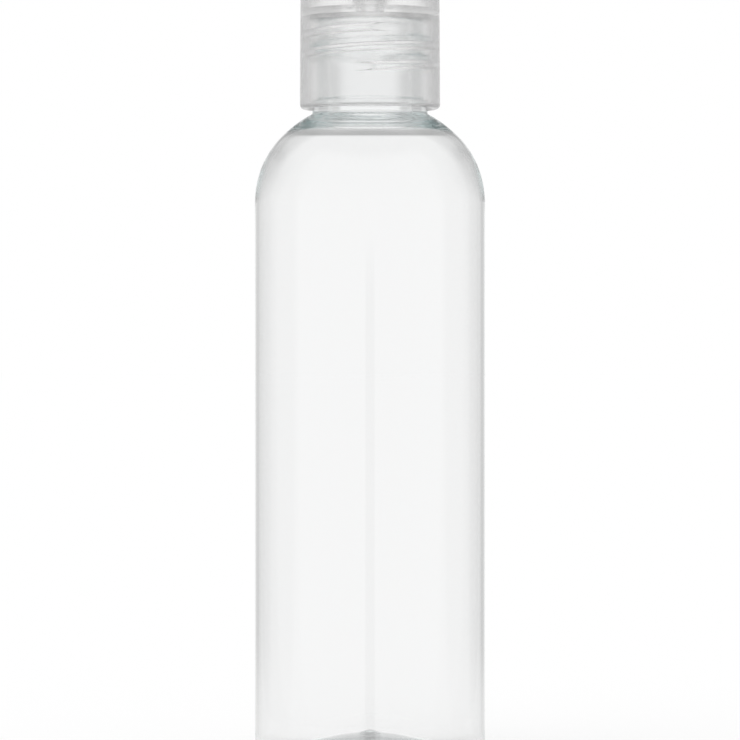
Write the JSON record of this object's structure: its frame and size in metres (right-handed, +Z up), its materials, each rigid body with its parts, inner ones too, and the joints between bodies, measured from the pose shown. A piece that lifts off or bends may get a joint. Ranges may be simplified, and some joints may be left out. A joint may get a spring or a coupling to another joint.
{
  "type": "travel bottle",
  "caption": "Clear round-shouldered travel bottle with a translucent screw cap; the disc in the top of the cap tilts to pour shampoo or lotion.",
  "frame": {"origin": "centre of the standing ring, on the surface that the bottle stands on", "axes": "+Z up along the bottle's axis; the disc pours towards -Y and is pressed at +Y"},
  "size_m": [0.038, 0.038, 0.1274],
  "materials": {
    "clear_bottle": "clear gloss",
    "translucent_cap": "smooth translucent",
    "translucent_disc": "smooth translucent",
    "soft_washer": "soft translucent"
  },
  "bodies": {
    "bottle": {"bottle": "clear_bottle"},
    "seal": {"sealing_washer": "soft_washer"},
    "cap": {"cap_body": "translucent_cap"},
    "disc": {"disc": "translucent_disc"}
  },
  "joints": [
    {"name": "cap_rise", "type": "slide", "parent": "bottle", "child": "seal", "axis": [0, 0, 1], "range_m": [0, 0.0048]},
    {"name": "cap_turn", "type": "hinge", "parent": "seal", "child": "cap", "pos_m": [0, 0, 0.1213], "axis": [0, 0, 1], "range_deg": [0, 540]},
    {"name": "disc_tilt", "type": "hinge", "parent": "cap", "child": "disc", "pos_m": [0, 0.0015, 0.1257], "axis": [-1, 0, 0], "range_deg": [0, 20]}
  ],
  "couplings": [
    {"joint": "cap_rise", "follows": "cap_turn", "m_per_rad": 0.00050532}
  ]
}
